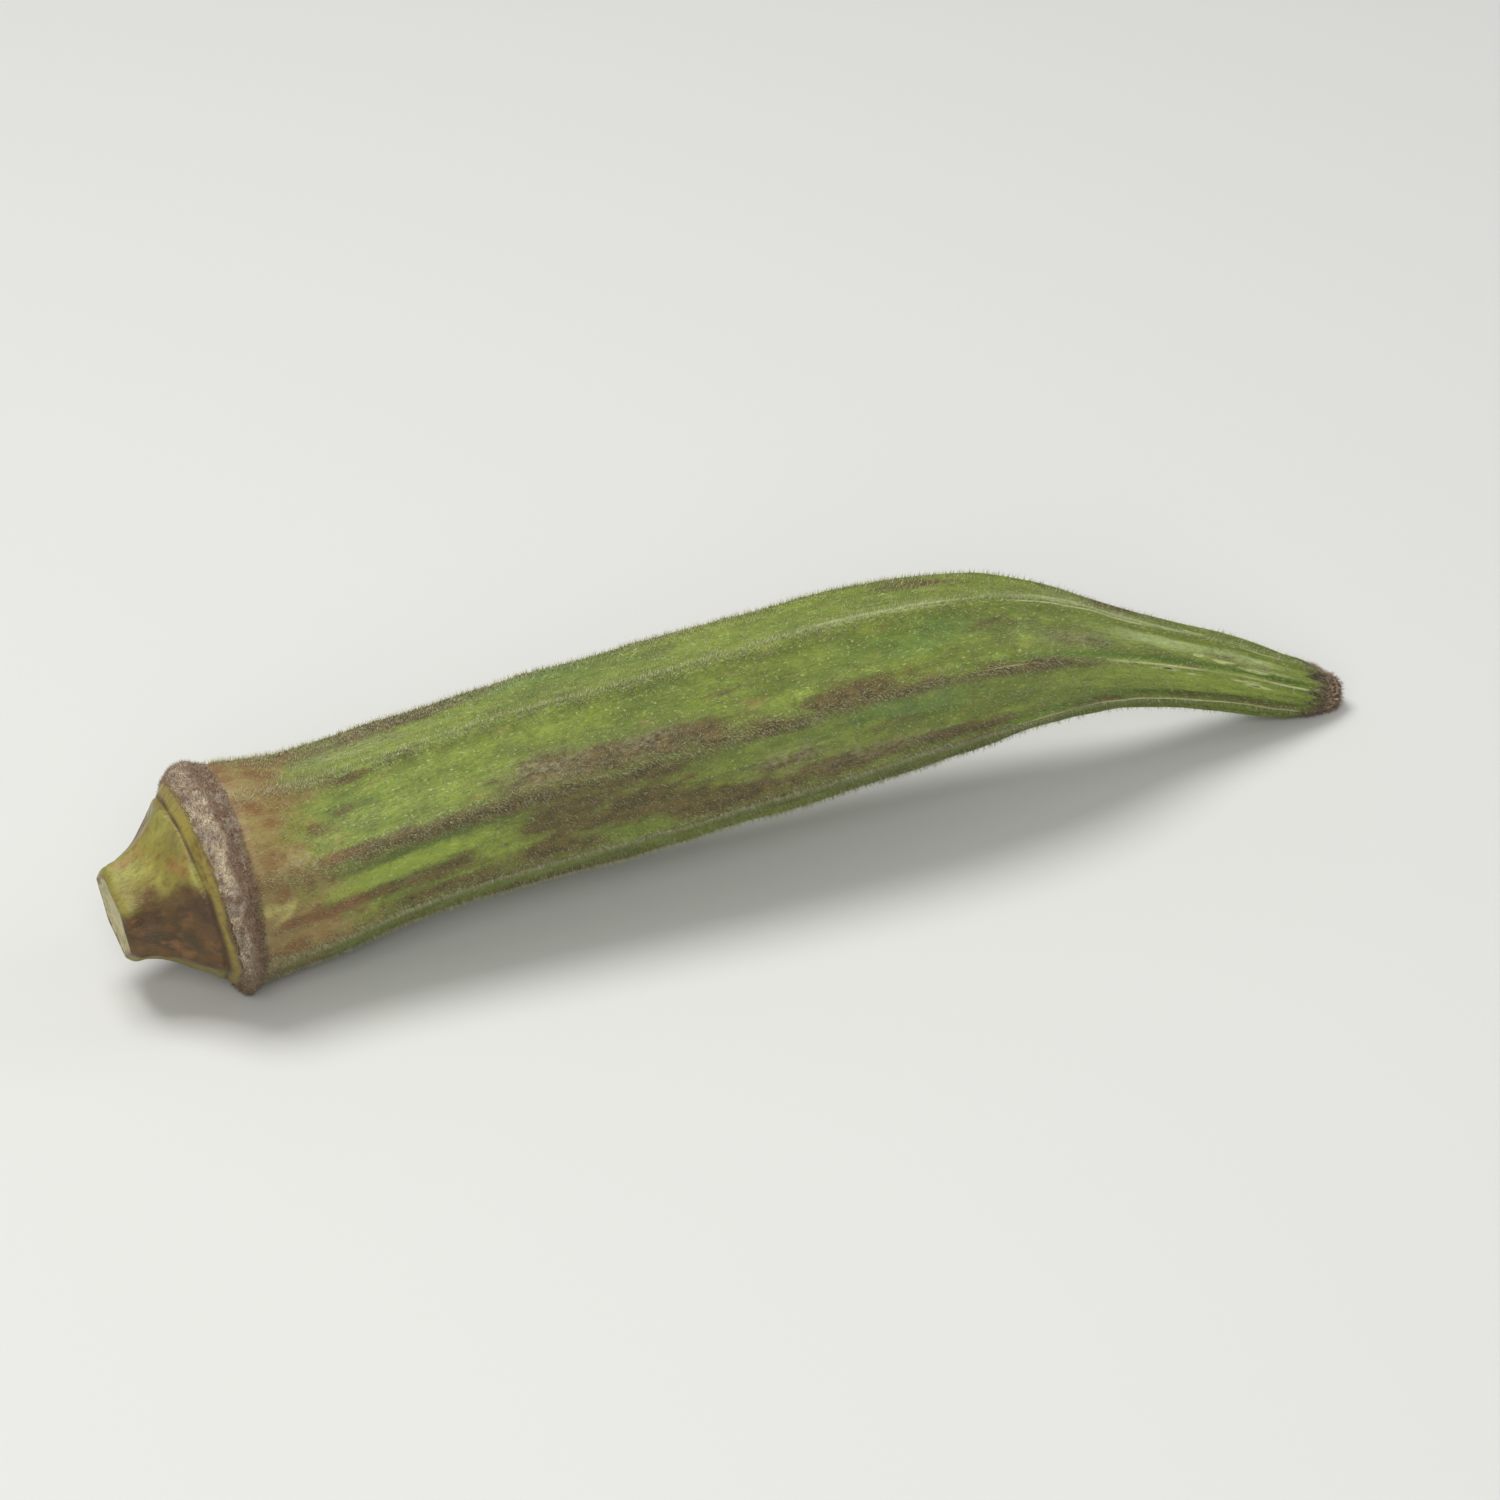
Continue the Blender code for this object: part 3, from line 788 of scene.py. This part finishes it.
def with_scuffs(paint, skin):
    """Brown scuffs over the skin, rusty by the shoulder, with a greyish bloom on some."""
    skin = paint.tint(skin, OLIVE, "bruise", (0.05, 0.7), 0.5)
    scuff = paint.mottle(BROWN, DARK_BROWN, (1.5, 0.8), (0.38, 0.6), 1.0, 5.0)
    scuff = paint.mix(paint.step(paint.mark("shoulder"), 0.0, 0.5, 0.15, 0.75), scuff, RUST)
    skin = paint.daub(skin, scuff, "bruise", (2.6, 1.1), 1.5, 0.8)
    dust = paint.step(paint.noise(0.6, 0.35, 5.0), 0.36, 0.7, 0.0, 0.62)
    return paint.mix(paint.calc("MULTIPLY", paint.mark("bloom"), dust), skin, LILAC)


def with_tip(paint, skin):
    """The pale lines on the ridges, the small scars beside them and the torn brown nub, over the skin."""
    skin = paint.tint(skin, PALE_LINE, "pale_line", (0.3, 0.9), 0.75)
    skin = paint.tint(skin, PALE_LINE, "scar", (0.2, 0.45), 0.75)
    skin = paint.tint(skin, DARK_BROWN, "scar", (0.62, 0.85), 0.9)
    torn = paint.step(paint.noise(0.4, 1.1, 5.0), 0.46, 0.58)
    end = paint.mix(paint.calc("MULTIPLY", paint.mark("nub"), torn), NUB_BROWN, NUB_PINK)
    end = paint.mix(paint.step(paint.mark("share"), 0.3, 0.9, 0.8, 0.0), end, NUB_BROWN)
    return paint.daub(skin, end, "end", (1.2, 1.2), 2.0, 0.9)


def capsule_material():
    """Green skin with a tan shoulder, brown scuffs and a brown nub."""
    paint = Paint("okra_capsule", 0.5)
    skin = with_tip(paint, with_scuffs(paint, with_shoulder(paint, green_skin(paint))))
    return paint.finish(skin, paint.between(0.36, 0.58, (3.0, 1.2), 4.0), paint.noise(0.7, 0.2, 4.0), 0.12)


def collar_material():
    """Felted hair, grey, flecked with brown."""
    paint = Paint("okra_collar_wool", 0.9, 0.2)
    wool = paint.mottle(WOOL, WOOL_GREY, (0.9, 1.4), (0.4, 0.62), 1.0, 4.0)
    wool = paint.mottle(wool, WOOL_BROWN, (0.7, 0.9), (0.5, 0.68), 0.7, 5.0)
    wool = paint.daub(wool, WOOL_BROWN, "felt", (0.7, 1.2), 2.0, 0.7)
    return paint.finish(wool, paint.between(0.8, 1.0, (0.4, 0.4)), paint.noise(0.16, 0.12, 4.0), 0.14)


def cap_material():
    """The cap, green above and brown below, the brown partly painted shade, with an olive band and a dark
    groove by the collar.
    """
    paint = Paint("okra_cap", 0.4, 0.4)
    cap = paint.mottle(CAP_GREEN, CAP_OLIVE, (3.0, 4.0), (0.32, 0.68), 1.0, 4.0)
    cap = paint.mottle(cap, CAP_RUST, (1.6, 2.4), (0.5, 0.76), 0.6, 4.0)
    brown = paint.mottle(CAP_BROWN, CAP_DARK, (1.5, 2.2), (0.38, 0.62), 1.0, 5.0)
    brown = paint.mottle(brown, CAP_RUST, (1.4, 2.0), (0.5, 0.76), 0.5, 4.0)
    # Dark brown over the cap's lower front, partly real and partly painted shade.
    cap = paint.daub(cap, brown, "bruise", (2.2, 3.2), 1.2, 0.9)
    band = paint.mottle(BAND_OLIVE, CAP_BROWN, (0.7, 3.5), (0.45, 0.7), 0.8, 5.0)
    cap = paint.mix(paint.mark("band"), cap, band)
    cap = paint.mottle(cap, CAP_BROWN, (0.6, 0.5), (0.44, 0.7), 0.35)
    crack = paint.step(paint.noise(2.0, 3.0), 0.3, 0.6, 0.5, 0.9)
    cap = paint.mix(paint.calc("MULTIPLY", paint.mark("groove"), crack), cap, GROOVE_DARK)
    return paint.finish(cap, paint.between(0.32, 0.5, (1.5, 1.5)), paint.noise(0.4, 0.3, 5.0), 0.14)


def cut_face_material():
    """Pale pith, a greener ring of fibres round it and a brown, dried edge."""
    paint = Paint("okra_cut_face", 0.6)
    share = paint.calc("ADD", paint.mark("share"), paint.between(-0.08, 0.08, (1.0, 1.6)))
    pith = paint.mottle(PITH, PITH_DARK, (0.5, 0.8), (0.36, 0.64), 0.7, 4.0)
    fibres = paint.step(paint.noise(0.4, 0.7, 2.0), 0.4, 0.6, 0.35, 0.8)
    ring = paint.calc("MULTIPLY", paint.step(share, 0.5, 0.62), paint.step(share, 0.82, 0.7))
    pith = paint.mix(paint.calc("MULTIPLY", ring, fibres), pith, PITH_GREEN)
    pith = paint.mix(paint.step(share, 0.8, 1.0, 0.0, 0.9), pith, CUT_EDGE)
    return paint.finish(pith, paint.between(0.5, 0.7, (1.0, 1.0)), paint.noise(0.5, 0.6, 4.0), 0.12)


def hair_material(name, pale, dark):
    """Fine plant hair: each hair has its own shade between the two colours."""
    paint = Paint(name, 0.55, 0.4)
    paint.feed(paint.shader.inputs["Base Color"], paint.mix(paint.mark("shade"), pale, dark))
    return paint.material


def scattered(growth, density):
    """Places for the hairs, (along, turn), as dense as the function says for each square millimetre."""
    draw = np.random.default_rng(growth.seed)
    tries = TRIES_PER_HAIR * growth.count
    found, needed = [], growth.count
    while needed > 0:
        along, turn = draw.uniform(*growth.stretch, tries), draw.uniform(0, 360, tries)
        likely = density(along, turn) * smooth_curve(PROFILE, along) / FLOW_RADIUS
        kept = draw.uniform(0, 1, tries) < likely
        found.append(np.stack([along[kept], turn[kept]])[:, :needed])
        needed -= found[-1].shape[1]
    return np.concatenate(found, axis=1)


def hairs(growth, places, pose):
    """Hairs as thin closed spikes rooted in the skin, leaning towards the tip."""
    along, turn = places
    draw = np.random.default_rng(growth.seed)
    count = growth.count
    root = skin_at(along, turn, np.ones(count), pose)
    out = outward(along, turn, pose)
    grown = unit(out + np.array([growth.lean, 0.0, 0.0]) + growth.spread * draw.normal(0, 1, (count, 3)))
    tip = root + grown * draw.uniform(*growth.lengths, (count, 1))
    tip[:, 2] = np.maximum(tip[:, 2], HAIR_CLEARANCE)
    first = unit(np.cross(grown, draw.normal(0, 1, (count, 3))))
    second = np.cross(grown, first)
    base, first, second = root - HAIR_ROOT * out, growth.width * first, growth.width * second
    corners = [base + math.cos(turned) * first + math.sin(turned) * second for turned in CORNER_TURNS]
    points = np.stack([*corners, tip], axis=1).reshape(-1, 3)
    start = SPIKE_POINTS * np.arange(count)[:, None, None]
    faces = (start + np.array(SPIKE_FACES)).reshape(-1, 3)
    shade = np.repeat(np.sqrt(draw.uniform(0, 1, count)), SPIKE_POINTS)
    flow = np.repeat(flow_of(along, turn), SPIKE_POINTS, axis=0)
    return mesh_piece(growth.name, points, faces.tolist(), {"shade": shade, "flow": flow})


def ridge_density(along, turn):
    on_ridge = bump(0.0, RIDGE_HAIR_HALF_WIDTH, off_corner(turn, RIDGES))
    return on_ridge * (1 - RIDGE_HAIRS_LOST * blend(*RIDGE_HAIRS_THIN, along))


def facet_density(along, turn):
    return FACET_HAIR_SHARE + layered(flow_of(along, turn), FACET_HAIR_CLUMPS)


def scuff_density(along, turn):
    return np.clip(patches(all_bruises(), along, turn), 0, 1)


def even_density(along, turn):
    return np.ones_like(along)


def all_hairs(pose):
    """The hairs of each region, in pieces of their own."""
    pale = hair_material("okra_hair_pale", HAIR_PALE, HAIR_TAN)
    brownish = hair_material("okra_hair_brown", HAIR_PALE, HAIR_BROWN)
    woolly = hair_material("okra_hair_wool", WOOL, WOOL_BROWN)
    made = []
    for growth, density, material in (
        (RIDGE_HAIRS, ridge_density, pale), (SKIN_HAIRS, facet_density, pale),
        (SCUFF_HAIRS, scuff_density, brownish), (COLLAR_HAIRS, even_density, woolly),
        (NUB_HAIRS, even_density, woolly),
    ):
        piece = hairs(growth, scattered(growth, density), pose)
        piece.data.materials.append(material)
        made.append(piece)
    return made


def floor_piece():
    mesh = bpy.data.meshes.new("floor")
    half = FLOOR_SIZE / 2
    corners = [(-half, -half, 0), (half, -half, 0), (half, half, 0), (-half, half, 0)]
    mesh.from_pydata(corners, [], [(0, 1, 2, 3)])
    material = bpy.data.materials.new("floor")
    material.use_nodes = True
    shader = material.node_tree.nodes["Principled BSDF"]
    shader.inputs["Base Color"].default_value = linear(FLOOR)
    shader.inputs["Roughness"].default_value = FLOOR_ROUGHNESS
    mesh.materials.append(material)
    floor = bpy.data.objects.new("floor", mesh)
    bpy.context.scene.collection.objects.link(floor)
    return floor


def aimed(made, place, target):
    made.location = place
    made.rotation_mode = "QUATERNION"
    made.rotation_quaternion = (Vector(target) - Vector(place)).to_track_quat("-Z", "Y")
    bpy.context.scene.collection.objects.link(made)
    return made


def light_scene():
    """Large soft lights above and around the pod, and a pale surrounding."""
    for name, place, size, power in LIGHTS:
        data = bpy.data.lights.new(name, "AREA")
        data.shape, data.size, data.energy = "DISK", size, power
        aimed(bpy.data.objects.new(name, data), place, CAMERA_AIM)
    world = bpy.data.worlds.new("studio")
    world.use_nodes = True
    background = world.node_tree.nodes["Background"]
    background.inputs["Strength"].default_value = WORLD_STRENGTH
    background.inputs["Color"].default_value = WORLD_COLOUR
    bpy.context.scene.world = world
    bpy.context.scene.view_settings.view_transform = "Standard"


def place_camera():
    data = bpy.data.cameras.new("camera")
    data.sensor_width = SENSOR
    data.lens = SENSOR * CAMERA_DISTANCE / CAMERA_FIELD
    data.clip_start = CLIP_START
    azimuth, elevation = math.radians(CAMERA_AZIMUTH), math.radians(CAMERA_ELEVATION)
    level = math.cos(elevation)
    back = Vector((math.sin(azimuth) * level, -math.cos(azimuth) * level, math.sin(elevation)))
    place = Vector(CAMERA_AIM) + back * CAMERA_DISTANCE
    bpy.context.scene.camera = aimed(bpy.data.objects.new("camera", data), place, CAMERA_AIM)


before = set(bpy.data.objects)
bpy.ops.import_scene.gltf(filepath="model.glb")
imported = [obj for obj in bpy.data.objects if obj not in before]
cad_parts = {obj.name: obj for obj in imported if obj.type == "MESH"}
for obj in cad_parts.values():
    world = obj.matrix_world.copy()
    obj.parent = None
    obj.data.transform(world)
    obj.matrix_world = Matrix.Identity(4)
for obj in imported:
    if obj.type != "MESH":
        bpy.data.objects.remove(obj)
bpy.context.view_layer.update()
pose = resting_pose()
skin = skin_piece(pose)
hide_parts("okra_pod")
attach(skin, "root")
for hair_piece in all_hairs(pose):
    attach(hair_piece, "root")
floor_piece()
light_scene()
place_camera()
